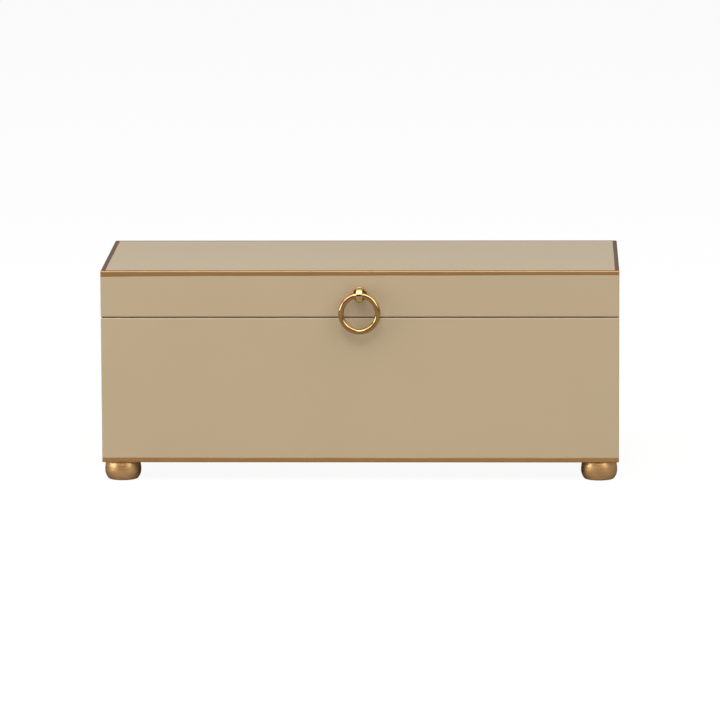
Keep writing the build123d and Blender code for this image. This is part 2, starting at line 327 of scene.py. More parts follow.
def swept(name, corners, radius, rows, paint_rows, capped):
    """A shell from rows that each run round the box: a row gives (inset, level) at a share of a lap.

    paint_rows gives the material of the surface after each painted row, by the row's number. A
    capped shell's first and last rows are closed with a face each, and an open one's join.
    """
    low, high = corners
    centre = (low + high) / 2
    half_x, half_y = (high.x - low.x) / 2, (high.y - low.y) / 2
    around = stations(half_x, half_y, radius)
    distances = [station[-1] for station in around]
    lap = distances[-1]
    builder = bmesh.new()
    uv = builder.loops.layers.uv.new("along the line")
    loops = []
    for row in rows:
        loop = []
        for u, v, nx, ny, along in around:
            inset, level = row(along / lap)
            reach = max(inset, radius)
            bend = reach - inset
            x = centre.x + u * (half_x - reach) + nx * bend
            y = centre.y + v * (half_y - reach) + ny * bend
            loop.append(builder.verts.new((x, y, level)))
        loops.append(loop)
    pairs = len(rows) - 1 if capped else len(rows)
    across = 0.0
    for index in range(pairs):
        inner, outer = loops[index], loops[(index + 1) % len(loops)]
        width = (inner[0].co - outer[0].co).length
        for place, start in enumerate(distances):
            beside = (place + 1) % len(around)
            face = builder.faces.new((inner[place], inner[beside], outer[beside], outer[place]))
            face.material_index = paint_rows.get(index, LACQUER)
            end = distances[beside] if beside else lap + radius * pi / 2 / CORNER_STEPS
            marks = ((start, across), (end, across), (end, across + width), (start, across + width))
            for corner, mark in zip(face.loops, marks):
                corner[uv].uv = mark
        across += width
    if capped:
        builder.faces.new(loops[0])
        builder.faces.new(reversed(loops[-1]))
    bmesh.ops.remove_doubles(builder, verts=builder.verts, dist=MERGED_WITHIN)
    bmesh.ops.dissolve_degenerate(builder, edges=builder.edges, dist=MERGED_WITHIN)
    return as_object(name, builder)


def steady(points):
    """Rows that keep one inset and level all the way round."""
    return [lambda lap_share, point=point: point for point in points]


def brushed_edge(lap_share, phase):
    """How far a hand-painted edge strays from true, from -1 to 1, with no break where a lap ends."""
    sway, drift, wobble, tremor = 1.0, 0.35, 0.22, 0.12
    turn = tau * lap_share
    slow = sway * cos(turn + phase) + drift * sin(2 * turn + 3 * phase)
    quick = wobble * sin(9 * turn + 5 * phase) + tremor * sin(23 * turn + 7 * phase)
    return (slow + quick) / (sway + drift + wobble + tremor)


def set_off(lap_share):
    """How full the loaded brush leaves a line, from 1 at the front left corner to 0 further on."""
    runs_down_in = 0.035
    return exp(-min(lap_share, 1 - lap_share) / runs_down_in)


def block(low, high):
    """A block between two corners, to cut with."""
    builder = bmesh.new()
    middle = Matrix.Translation((low + high) / 2)
    bmesh.ops.create_cube(builder, size=1.0, matrix=middle @ Matrix.Diagonal((*(high - low), 1.0)))
    return as_object("cutter", builder)


def mortise(side, sizes, upper):
    """The bed for a hinge leaf, cut from the base's rim or, for the upper leaf, from the lid's."""
    leaf_low, leaf_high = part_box(f"hinge_{'lid' if upper else 'base'}_leaf_{side}")
    base_rim = span(*BASE_WALLS)[1].z
    seam = (base_rim + span(*LID_BOARDS)[0].z) / 2
    depth = sizes.leaf_gap / 2 + sizes.leaf_thickness
    spare = sizes.mortise_clearance
    low = Vector((leaf_low.x - spare, leaf_low.y - spare, seam - (0 if upper else depth)))
    high = Vector((leaf_high.x + spare, leaf_high.y, seam + (depth if upper else 0)))
    return block(low, high)


# Materials


def node(tree, kind, inputs=None, **settings):
    """Adds a node. inputs gives each named or numbered input a value, or the output that feeds it."""
    made = tree.nodes.new(kind)
    for name, value in settings.items():
        setattr(made, name, value)
    for key, value in (inputs or {}).items():
        if isinstance(value, bpy.types.NodeSocket):
            tree.links.new(value, made.inputs[key])
        else:
            made.inputs[key].default_value = value
    return made


def finish(name):
    """A new material, with its empty tree."""
    made = bpy.data.materials.new(name)
    made.use_nodes = True
    made.node_tree.nodes.clear()
    return made, made.node_tree


def every(millimetres):
    """The scale at which a noise texture's features are this far apart."""
    return 1000.0 / millimetres


def surfaced(tree, pattern, shade, roughness, strength, depth, shine):
    """Ends a finish with a shader whose sheen and relief follow a pattern, depth in millimetres."""
    low, high = roughness
    sheen = node(
        tree, "ShaderNodeMapRange", {"Value": pattern, "To Min": low, "To Max": high}
    ).outputs["Result"]
    relief = node(
        tree, "ShaderNodeBump", {"Height": pattern, "Strength": strength, "Distance": depth * MM}
    ).outputs["Normal"]
    shader = node(
        tree,
        "ShaderNodeBsdfPrincipled",
        {"Base Color": shade, "Roughness": sheen, "Normal": relief, **shine},
    )
    node(tree, "ShaderNodeOutputMaterial", {"Surface": shader.outputs["BSDF"]})


def satin_lacquer(colour):
    """Board sprayed with satin polyurethane lacquer: one even colour under a wide, soft sheen."""
    made, tree = finish("satin_polyurethane_lacquer_sprayed")
    place = node(tree, "ShaderNodeTexCoord").outputs["Object"]
    # The spray gun's overlapping passes leave a faint drift in tone
    passes = node(
        tree, "ShaderNodeTexNoise", {"Vector": place, "Scale": every(90), "Detail": 2.0}
    ).outputs["Fac"]
    shade = node(
        tree,
        "ShaderNodeMix",
        {SHARE: passes, FIRST: toned(colour, 0.97), SECOND: toned(colour, 1.03)},
        data_type="RGBA",
    ).outputs[MIXED]
    rub = node(tree, "ShaderNodeTexNoise", {"Vector": place, "Scale": every(25)}).outputs["Fac"]
    sheen = node(
        tree, "ShaderNodeMapRange", {"Value": rub, "To Min": 0.3, "To Max": 0.36}
    ).outputs["Result"]
    # Orange peel is about 1 mm from crest to crest on the real board, and is drawn at 2 mm to show
    peel = node(tree, "ShaderNodeTexNoise", {"Vector": place, "Scale": every(2)}).outputs["Fac"]
    relief = node(
        tree, "ShaderNodeBump", {"Height": peel, "Strength": 0.25, "Distance": 0.02 * MM}
    ).outputs["Normal"]
    coat = node(
        tree,
        "ShaderNodeBsdfPrincipled",
        {"Base Color": shade, "Roughness": sheen, "IOR": 1.46, "Normal": relief},
    )
    node(tree, "ShaderNodeOutputMaterial", {"Surface": coat.outputs["BSDF"]})
    return made


def brushed_bronze_paint(name, colour):
    """Bronze powder in varnish, drawn with a liner brush: a soft glint, streaked along the line."""
    made, tree = finish(name)
    place = node(tree, "ShaderNodeUVMap", uv_map="along the line").outputs["UV"]
    # Bristle marks are 0.2 mm apart and 40 mm long, drawn at 0.5 mm to show
    stretched = node(
        tree,
        "ShaderNodeMapping",
        {"Vector": place, "Scale": (every(40), every(0.5), 1.0)},
    ).outputs["Vector"]
    bristles = node(
        tree, "ShaderNodeTexNoise", {"Vector": stretched, "Scale": 1.0, "Detail": 4.0}
    ).outputs["Fac"]
    load = node(tree, "ShaderNodeTexNoise", {"Vector": place, "Scale": every(30)}).outputs["Fac"]
    thin = node(
        tree,
        "ShaderNodeMix",
        {SHARE: load, FIRST: toned(colour, 0.88), SECOND: toned(colour, 1.1)},
        data_type="RGBA",
    ).outputs[MIXED]
    streaked = node(
        tree,
        "ShaderNodeMix",
        {SHARE: bristles, FIRST: toned(colour, 0.8), SECOND: thin},
        data_type="RGBA",
    ).outputs[MIXED]
    surfaced(
        tree, bristles, streaked, (0.44, 0.56), strength=0.4, depth=0.04, shine={"Metallic": 0.85}
    )
    return made


def gilded_turning(colour):
    """Turned wood under burnished gold paint: blurred highlights, streaked round by the lathe."""
    made, tree = finish("gold_paint_burnished_on_turned_wood")
    place = node(tree, "ShaderNodeTexCoord").outputs["Object"]
    # The lathe leaves rings about 0.3 mm apart, drawn at 1.1 mm to show, that drift round the foot
    level = node(
        tree,
        "ShaderNodeMapping",
        {"Vector": place, "Scale": (every(14), every(14), every(1.1))},
    ).outputs["Vector"]
    drift = node(
        tree, "ShaderNodeTexNoise", {"Vector": level, "Scale": 1.0, "Detail": 5.0}
    ).outputs["Fac"]
    rings = node(
        tree, "ShaderNodeMapRange", {"Value": drift, "From Min": 0.34, "From Max": 0.66}
    ).outputs["Result"]
    rubbed = node(
        tree, "ShaderNodeTexNoise", {"Vector": place, "Scale": every(6), "Detail": 3.0}
    ).outputs["Fac"]
    shade = node(
        tree,
        "ShaderNodeMix",
        {SHARE: rings, FIRST: toned(colour, 0.7), SECOND: toned(colour, 1.1)},
        data_type="RGBA",
    ).outputs[MIXED]
    worn = node(
        tree,
        "ShaderNodeMix",
        {SHARE: rubbed, FIRST: toned(colour, 0.95), SECOND: shade},
        data_type="RGBA",
    ).outputs[MIXED]
    shine = {
        "Metallic": 0.95,
        "Specular Tint": toned(colour, 0.2),
        "Coat Weight": 1.0,
        "Coat Roughness": 0.16,
    }
    surfaced(tree, rings, worn, (0.36, 0.46), strength=0.5, depth=0.05, shine=shine)
    return made


def solid_brass(name, colour, roughness):
    """Brass that was cast, bent or turned: buffed, its highlights are sharp, and left satin, soft."""
    made, tree = finish(name)
    place = node(tree, "ShaderNodeTexCoord").outputs["Object"]
    # Buffing leaves a faint unevenness a few millimetres wide
    swirls = node(
        tree, "ShaderNodeTexNoise", {"Vector": place, "Scale": every(3), "Detail": 3.0}
    ).outputs["Fac"]
    shade = node(
        tree,
        "ShaderNodeMix",
        {SHARE: swirls, FIRST: toned(colour, 0.92), SECOND: colour},
        data_type="RGBA",
    ).outputs[MIXED]
    shine = {
        "Metallic": 1.0,
        "Specular Tint": toned(colour, 0.5),
        "Coat Weight": 1.0,
        "Coat Roughness": 0.08,
    }
    surfaced(tree, swirls, shade, roughness, strength=0.15, depth=0.05, shine=shine)
    return made


def brushed_metal(name, colour, roughness):
    """Rolled metal with a brushed or plated face: an even sheen with fine lines along it."""
    made, tree = finish(name)
    place = node(tree, "ShaderNodeTexCoord").outputs["Object"]
    # Brush lines are 0.1 mm apart, drawn at 0.25 mm to show
    along = node(
        tree,
        "ShaderNodeMapping",
        {"Vector": place, "Scale": (every(8), every(0.25), every(0.25))},
    ).outputs["Vector"]
    lines = node(
        tree, "ShaderNodeTexNoise", {"Vector": along, "Scale": 1.0, "Detail": 4.0}
    ).outputs["Fac"]
    shade = node(
        tree,
        "ShaderNodeMix",
        {SHARE: lines, FIRST: toned(colour, 0.85), SECOND: colour},
        data_type="RGBA",
    ).outputs[MIXED]
    surfaced(tree, lines, shade, roughness, strength=0.2, depth=0.02, shine={"Metallic": 1.0})
    return made


def wool_felt(colour):
    """Pressed wool felt: no shine but a pale bloom at a glance, and a fine tangle of fibres."""
    made, tree = finish("wool_felt_pressed")
    place = node(tree, "ShaderNodeTexCoord").outputs["Object"]
    # Fibres are 0.03 mm thick, and their tangle is drawn at 0.5 mm to show
    tangle = node(
        tree,
        "ShaderNodeTexNoise",
        {"Vector": place, "Scale": every(0.5), "Detail": 6.0, "Roughness": 0.7},
    ).outputs["Fac"]
    tufts = node(
        tree, "ShaderNodeTexNoise", {"Vector": place, "Scale": every(7), "Detail": 3.0}
    ).outputs["Fac"]
    nap = node(
        tree,
        "ShaderNodeMix",
        {SHARE: tangle, FIRST: toned(colour, 0.62), SECOND: toned(colour, 1.35)},
        data_type="RGBA",
    ).outputs[MIXED]
    shade = node(
        tree,
        "ShaderNodeMix",
        {SHARE: tufts, FIRST: nap, SECOND: toned(colour, 0.9)},
        data_type="RGBA",
    ).outputs[MIXED]
    relief = node(
        tree, "ShaderNodeBump", {"Height": tangle, "Strength": 0.8, "Distance": 0.15 * MM}
    ).outputs["Normal"]
    cloth = node(
        tree,
        "ShaderNodeBsdfPrincipled",
        {
            "Base Color": shade,
            "Roughness": 0.95,
            "Sheen Weight": 0.35,
            "Sheen Roughness": 0.5,
            "Normal": relief,
        },
    )
    node(tree, "ShaderNodeOutputMaterial", {"Surface": cloth.outputs["BSDF"]})
    return made


def recoloured(material, *nodes):
    """Gives CAD nodes that stay in view their finish."""
    for name in nodes:
        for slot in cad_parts[name].material_slots:
            slot.material = material


# Pieces


def base_rows(sizes, low, high, board, rabbet, floor_top):
    """The base shell's rows, from the foot line's upper edge round the section and back."""
    arris, ease = sizes.arris, sizes.easing

    def line_edge(lap_share):
        waver = sizes.line_waver * brushed_edge(lap_share, phase=2.4)
        return 0.0, low.z + sizes.foot_line_width + waver

    rows = [line_edge]
    rows += steady(arc((arris, low.z + arris), arris, 180, 270, steps=5))
    rows += steady([(sizes.line_under, low.z)])
    paint_rows = dict.fromkeys(range(len(rows) - 1), GOLD)
    rows += steady([(rabbet, low.z), (rabbet, floor_top), (board, floor_top)])
    rows += steady(arc((board - ease, high.z - ease), ease, 0, 90, steps=3))
    rows += steady(arc((arris, high.z - arris), arris, 90, 180, steps=5))
    return rows, paint_rows


def lid_rows(sizes, low, high, board, ceiling):
    """The lid shell's rows, from the ceiling's edge down, round the rim and up over the top."""
    arris, ease = sizes.arris, sizes.easing

    def wall_edge(lap_share):
        waver = sizes.line_waver * brushed_edge(lap_share, phase=0.1)
        swell = sizes.line_swell * set_off(lap_share)
        return 0.0, high.z - sizes.line_width - waver - swell

    def top_edge(lap_share):
        waver = sizes.line_waver * brushed_edge(lap_share, phase=1.3)
        swell = sizes.line_swell * set_off(lap_share)
        return sizes.line_width + waver + swell / 2, high.z

    rows = steady([(board, ceiling)])
    rows += steady(arc((board - ease, low.z + ease), ease, 0, -90, steps=3))
    rows += steady(arc((arris, low.z + arris), arris, 270, 180, steps=5))
    first_painted = len(rows)
    rows.append(wall_edge)
    rows += steady(arc((arris, high.z - arris), arris, 180, 90, steps=5))
    rows.append(top_edge)
    last_painted = len(rows) - 2
    # The arris's last facet gets the top's darker paint, which is painted shade
    paint_rows = dict.fromkeys(range(first_painted, last_painted - 1), GOLD)
    paint_rows |= dict.fromkeys((last_painted - 1, last_painted), SHADED_GOLD)
    return rows, paint_rows


class LACQUERED_BOX_OT_base(bpy.types.Operator):
    """Make the base's lacquered walls, with their foot line, and finish its floor board"""

    bl_idname = "lacquered_box.base"
    bl_label = "Base"

    def execute(self, context):
        sizes, colours = context.scene.box_sizes, context.scene.box_colours
        low, high = span(*BASE_WALLS)
        wall_low, wall_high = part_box("base_left")
        floor_low, floor_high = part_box("base_floor")
        board = wall_high.x - wall_low.x
        rabbet = floor_low.x - low.x - sizes.floor_clearance
        rows, paint_rows = base_rows(sizes, low, high, board, rabbet, floor_high.z)
        walls = swept("base_walls", (low, high), sizes.arris, rows, paint_rows, capped=False)
        lacquer = satin_lacquer(colours.lacquer)
        # The foot line's paint is the lid lines' paint made lighter: painted light, so that it shows
        # a little brighter
        lit_foot_line = toned(colours.gold_line, 1.13)
        coated(walls, lacquer, brushed_bronze_paint("bronze_powder_paint_painted_light", lit_foot_line))
        for side in SIDES:
            combined(walls, mortise(side, sizes, upper=False), "DIFFERENCE")
        placed(shaded(walls), "base", "lacquer", *BASE_WALLS)
        recoloured(lacquer, "base_floor")
        return {"FINISHED"}


class LACQUERED_BOX_OT_lid(bpy.types.Operator):
    """Make the lid's lacquered shell, with the gold line round its top"""

    bl_idname = "lacquered_box.lid"
    bl_label = "Lid"

    def execute(self, context):
        sizes, colours = context.scene.box_sizes, context.scene.box_colours
        low, high = span(*LID_BOARDS)
        wall_low, wall_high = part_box("lid_left")
        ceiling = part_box("lid_top")[0].z
        rows, paint_rows = lid_rows(sizes, low, high, wall_high.x - wall_low.x, ceiling)
        lid = swept("lid_shell", (low, high), sizes.arris, rows, paint_rows, capped=True)
        coated(
            lid,
            satin_lacquer(colours.lacquer),
            brushed_bronze_paint("bronze_powder_paint_brushed", colours.gold_line),
            # The third finish is the line's paint made darker: painted shade
            brushed_bronze_paint("bronze_powder_paint_painted_shade", colours.shaded_top_line),
        )
        # Only the front arris keeps its gold: the others get the top's darker paint, painted shade
        for face in lid.data.polygons:
            faces_up, faces_front = face.normal.z > 0.1, face.normal.y < -0.3
            if face.material_index == GOLD and faces_up and not faces_front:
                face.material_index = SHADED_GOLD
        for side in SIDES:
            combined(lid, mortise(side, sizes, upper=True), "DIFFERENCE")
        combined(lid, self.stud_hole(sizes), "DIFFERENCE")
        placed(shaded(lid), "lid", "lacquer", *LID_BOARDS)
        return {"FINISHED"}

    def stud_hole(self, sizes):
        """The drill for the pull's stud, through the front board."""
        board_low, board_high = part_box("lid_front")
        rosette_low, rosette_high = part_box("pull_rosette")
        radius = sizes.stud + sizes.stud_clearance
        thickness = board_high.y - board_low.y
        middle = (rosette_low + rosette_high) / 2
        place = Matrix.Translation(middle) @ Matrix.Rotation(pi / 2, 4, "X")
        builder = bmesh.new()
        bmesh.ops.create_cone(
            builder,
            cap_ends=True,
            segments=48,
            radius1=radius,
            radius2=radius,
            depth=4 * thickness,
            matrix=place,
        )
        return as_object("drill", builder)


class LACQUERED_BOX_OT_feet(bpy.types.Operator):
    """Turn the four gilded bun feet and finish their screws"""

    bl_idname = "lacquered_box.feet"
    bl_label = "Feet"

    def execute(self, context):
        sizes, colours = context.scene.box_sizes, context.scene.box_colours
        gilding = gilded_turning(colours.gilding)
        for corner in FEET:
            low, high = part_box(f"foot_{corner}")
            centre = (low + high) / 2
            outline = self.outline(sizes, (high.x - low.x) / 2, high.z - low.z)
            place = Matrix.Translation((centre.x, centre.y, low.z))
            foot = turned(f"bun_foot_{corner}", outline, steps=128, place=place)
            placed(coated(shaded(foot), gilding), "base", "gilded_wood", f"foot_{corner}")
        steel = brushed_metal("steel_zinc_plated", colours.steel, roughness=(0.28, 0.42))
        recoloured(steel, "foot_screws")
        return {"FINISHED"}

    def outline(self, sizes, radius, height):
        """Half of a foot's section: arcs above and below the bulge, and its screw's hole inside."""
        bulge = sizes.foot_bulge
        above = self.arc_radius(radius - sizes.foot_seat, height - bulge)
        below = self.arc_radius(radius - sizes.foot_base, bulge)
        top_angle = degrees(asin((height - bulge) / above))
        reach, drop = below - sizes.foot_edge, bulge - sizes.foot_edge
        base_angle = degrees(asin(drop / reach))
        edge = (radius - below + sqrt(reach**2 - drop**2), sizes.foot_edge)
        side = arc((radius - above, bulge), above, top_angle, 0, steps=14)
        side += arc((radius - below, bulge), below, 0, -base_angle, steps=12)[1:]
        side += arc(edge, sizes.foot_edge, -base_angle, -90, steps=8)[1:]
        cone_top = sizes.foot_bore_depth + sizes.foot_screw_head - sizes.foot_screw_hole
        inside = [
            (sizes.foot_bore, 0.0),
            (sizes.foot_bore, sizes.foot_bore_depth),
            (sizes.foot_screw_head, sizes.foot_bore_depth),
            (sizes.foot_screw_hole, cone_top),
            (sizes.foot_screw_hole, height),
        ]
        return eased(side + inside, sizes.foot_easing)

    def arc_radius(self, across, along):
        """Radius of the arc that starts upright and ends this far across and along."""
        return (across**2 + along**2) / (2 * across)


class LACQUERED_BOX_OT_felt(bpy.types.Operator):
    """Lay the felt on the floor and the two felt dots on the front rim"""

    bl_idname = "lacquered_box.felt"
    bl_label = "Felt"

    def execute(self, context):
        sizes, colours = context.scene.box_sizes, context.scene.box_colours
        felt = wool_felt(colours.felt)
        low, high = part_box("floor_felt")
        lining = self.lining(sizes, low, high)
        placed(coated(shaded(lining), felt), "base", "felt", "floor_felt")
        low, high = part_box("lid_dots")
        radius = (high.y - low.y) / 2
        thickness = high.z - low.z
        outline = [(radius, 0.0), (radius, thickness), (0.0, thickness), (0.0, 0.0)]
        outline = eased(outline, thickness / 2)
        for side, x in (("left", low.x + radius), ("right", high.x - radius)):
            place = Matrix.Translation((x, low.y + radius, low.z))
            dot = turned(f"felt_dot_{side}", outline, steps=48, place=place)
            placed(coated(shaded(dot), felt), "base", "felt", "lid_dots")
        return {"FINISHED"}

    def lining(self, sizes, low, high):
        """The lining as a closed sheet, its face a little uneven and its upper edge rounded off."""
        wave_length = 25 * MM
        across = self.graded(low.x, high.x, sizes.felt_easing)
        along = self.graded(low.y, high.y, sizes.felt_easing)
        builder = bmesh.new()
        top, bottom = [], []
        for y in along:
            top_row, bottom_row = [], []
            for x in across:
                spot = self.in_rounded_corner(x, y, low, high, sizes.felt_corner)
                to_edge = min(x - low.x, high.x - x, y - low.y, high.y - y)
                dip = max(sizes.felt_easing - to_edge, 0.0)
                drop = sizes.felt_easing - sqrt(sizes.felt_easing**2 - dip**2)
                wave = 0.5 + 0.5 * noise.noise((x / wave_length, y / wave_length, 0.0))
                level = high.z - drop - sizes.felt_slack * wave
                top_row.append(builder.verts.new((*spot, level)))
                bottom_row.append(builder.verts.new((*spot, low.z)))
            top.append(top_row)
            bottom.append(bottom_row)
        for j in range(len(along) - 1):
            for i in range(len(across) - 1):
                for sheet in (top, bottom):
                    corners = (sheet[j][i], sheet[j][i + 1], sheet[j + 1][i + 1], sheet[j + 1][i])
                    builder.faces.new(corners)
        for upper, lower in self.rims(top, bottom):
            for index in range(len(upper) - 1):
                builder.faces.new((upper[index], upper[index + 1], lower[index + 1], lower[index]))
        return as_object("felt_lining", builder)

    def rims(self, top, bottom):
        """The four borders of the two grids, in pairs."""
        pairs = [(top[0], bottom[0]), (top[-1], bottom[-1])]
        for column in (0, -1):
            pairs.append(([row[column] for row in top], [row[column] for row in bottom]))
        return pairs

    def graded(self, start, end, easing):
        """Places from start to end, close together near both."""
        steps, spacing = 4, 5 * MM
        near = [easing * (1 - cos(pi / 2 * step / steps)) for step in range(steps + 1)]
        inner = end - start - 2 * easing
        count = ceil(inner / spacing)
        middle = [easing + inner * step / count for step in range(1, count)]
        return [start + place for place in near + middle] + [end - place for place in reversed(near)]

    def in_rounded_corner(self, x, y, low, high, radius):
        """The place moved so that a square corner of the grid becomes a round one."""
        centre_x = min(max(x, low.x + radius), high.x - radius)
        centre_y = min(max(y, low.y + radius), high.y - radius)
        out_x, out_y = x - centre_x, y - centre_y
        if out_x == 0.0 or out_y == 0.0:
            return x, y
        share = max(abs(out_x), abs(out_y)) / hypot(out_x, out_y)
        return centre_x + out_x * share, centre_y + out_y * share


class LACQUERED_BOX_OT_hinges(bpy.types.Operator):
    """Finish the two stop hinges: leaves, pins and screws"""

    bl_idname = "lacquered_box.hinges"
    bl_label = "Hinges"

    def execute(self, context):
        colours = context.scene.box_colours
        brass = brushed_metal("brass_rolled_and_brushed", colours.hinge, roughness=(0.22, 0.36))
        for side in SIDES:
            recoloured(brass, *(f"hinge_{part}_{side}" for part in ("base_leaf", "lid_leaf", "pin")))
        paler = toned(colours.hinge, 1.1)
        screw_brass = brushed_metal("brass_screws_turned", paler, roughness=(0.18, 0.3))
        recoloured(screw_brass, "hinge_base_screws", "hinge_lid_screws")
        return {"FINISHED"}


class LACQUERED_BOX_OT_pull(bpy.types.Operator):
    """Make the ring pull: rosette, eye with its stud, and ring; finish its washer and nut"""

    bl_idname = "lacquered_box.pull"
    bl_label = "Ring pull"

    def execute(self, context):
        sizes, colours = context.scene.box_sizes, context.scene.box_colours
        buffed, satin = (0.07, 0.14), (0.24, 0.32)
        red = solid_brass("red_brass_bent_and_buffed", colours.brass, buffed)
        yellow = solid_brass("yellow_brass_cast_and_buffed", colours.eye_brass, buffed)
        toned_brass = solid_brass("brass_turned_and_toned", colours.rosette_brass, satin)
        placed(coated(shaded(self.ring()), red), "ring", "polished_brass", "pull_ring")
        placed(coated(shaded(self.eye(sizes)), yellow), "lid", "polished_brass", "pull_eye")
        rosette = coated(shaded(self.rosette(sizes)), toned_brass)
        placed(rosette, "lid", "polished_brass", "pull_rosette")
        steel = brushed_metal("steel_nickel_plated", colours.steel, roughness=(0.2, 0.34))
        recoloured(steel, "pull_washer", "pull_nut")
        return {"FINISHED"}

    def ring(self):
        """The ring, bent from round rod."""
        low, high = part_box("pull_ring")
        wire = (high.y - low.y) / 2
        radius = (high.x - low.x) / 2 - wire
        outline = arc((radius, 0.0), wire, 0, 360, steps=64)[:-1]
        place = Matrix.Translation((low + high) / 2) @ Matrix.Rotation(pi / 2, 4, "X")
        return turned("ring", outline, steps=224, place=place)

    def rosette(self, sizes):
        """The dished button behind the eye: a raised rim, a boss for the eye and the stud's hole."""
        low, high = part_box("pull_rosette")
        radius, thickness = (high.x - low.x) / 2, high.y - low.y
        hole = sizes.stud + sizes.stud_clearance
        rim, crest, dish = sizes.rosette_rim, sizes.rosette_crest, sizes.rosette_dish
        foot_of_boss = sizes.rosette_seat + dish / 2
        crest_radius = radius - rim
        steps, flare = 8, 1.6
        hollow = []
        for step in range(steps + 1):
            share = step / steps
            across = foot_of_boss + (crest_radius - foot_of_boss) * share
            hollow.append((across, dish + (crest - dish) * share**flare))
        outline = [
            (hole, 0.0),
            (hole, thickness),
            (sizes.rosette_seat, thickness),
            *hollow,
            (radius - 0.3 * rim, 0.5 * (rim + crest)),
            (radius, rim),
            (radius, 0.0),
        ]
        middle = (low + high) / 2
        back = Matrix.Translation((middle.x, high.y, middle.z)) @ Matrix.Rotation(pi / 2, 4, "X")
        return turned("rosette", eased(outline, 2 * sizes.polish), steps=96, place=back)

    def eye(self, sizes):
        """The barrel that holds the ring, on its neck, with the stud that goes through the board."""
        low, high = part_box("pull_eye")
        radius, half = (high.z - low.z) / 2, (high.x - low.x) / 2
        centre = Vector(((low.x + high.x) / 2, low.y + radius, (low.z + high.z) / 2))
        ring_low, ring_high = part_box("pull_ring")
        bore = (ring_high.y - ring_low.y) / 2 + sizes.eye_clearance
        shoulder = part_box("pull_rosette")[0].y - centre.y
        across = Matrix.Translation(centre) @ Matrix.Rotation(pi / 2, 4, "Y")
        inwards = Matrix.Translation(centre) @ Matrix.Rotation(-pi / 2, 4, "X")

        chamfer, mouth = sizes.eye_chamfer, sizes.eye_mouth
        barrel = [
            (0.0, -half),
            (radius - chamfer, -half),
            (radius, chamfer - half),
            (radius, half - chamfer),
            (radius - chamfer, half),
            (0.0, half),
        ]
        body = turned("eye", eased(barrel, 2 * sizes.polish), steps=96, place=across)
        length_in = high.y - centre.y
        stem = [
            (0.0, 0.0),
            (sizes.neck, 0.0),
            (sizes.neck, shoulder),
            (sizes.stud, shoulder),
            (sizes.stud, length_in - sizes.stud_chamfer),
            (sizes.stud - sizes.stud_chamfer, length_in),
            (0.0, length_in),
        ]
        combined(body, turned("stem", stem, steps=64, place=inwards), "UNION")
        drill = [
            (0.0, -2 * half),
            (bore + mouth + half, -2 * half),
            (bore, mouth - half),
            (bore, half - mouth),
            (bore + mouth + half, 2 * half),
            (0.0, 2 * half),
        ]
        cutter = turned("drill", eased(drill, sizes.polish), steps=96, place=across)
        return combined(body, cutter, "DIFFERENCE")


# Stage


